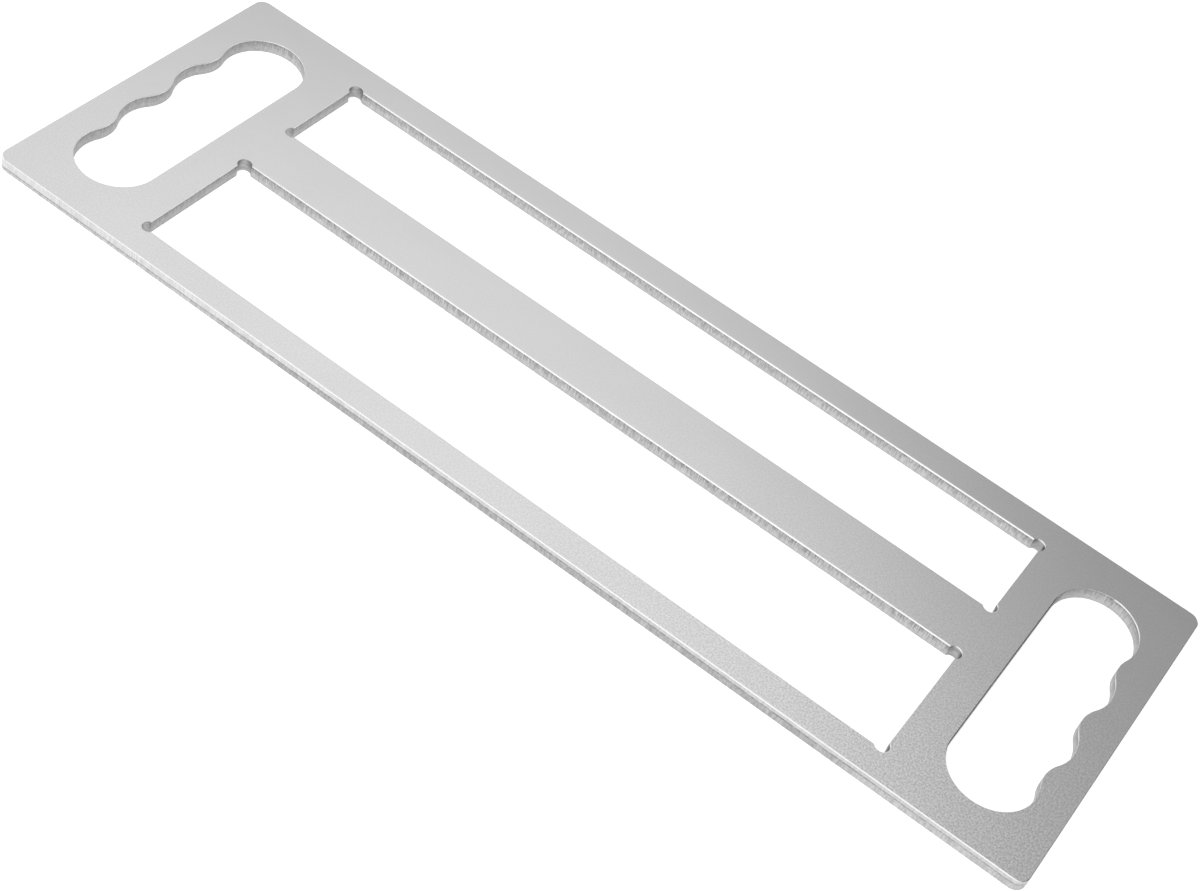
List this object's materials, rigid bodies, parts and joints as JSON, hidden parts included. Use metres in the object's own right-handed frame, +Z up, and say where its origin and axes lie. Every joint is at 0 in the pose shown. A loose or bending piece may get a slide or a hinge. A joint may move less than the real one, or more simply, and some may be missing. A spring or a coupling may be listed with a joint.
{
  "type": "tenon gauge",
  "caption": "Flat aluminium plate gauge: a wide and a narrow long window check the thickness of a sawn tenon, and a scalloped finger grip is cut through each end.",
  "frame": {"origin": "middle of the plate's underside, the face that it lies on", "axes": "+X along the plate, +Y across it from the wide window towards the narrow one, +Z up through the thickness"},
  "size_m": [0.4066, 0.1344, 0.005],
  "materials": {
    "satin_aluminium": "satin mill finish, fine even grain on both faces, milled walls in the openings, bright broken edges"
  },
  "bodies": {
    "root": {"gauge_plate": "satin_aluminium"}
  },
  "joints": []
}
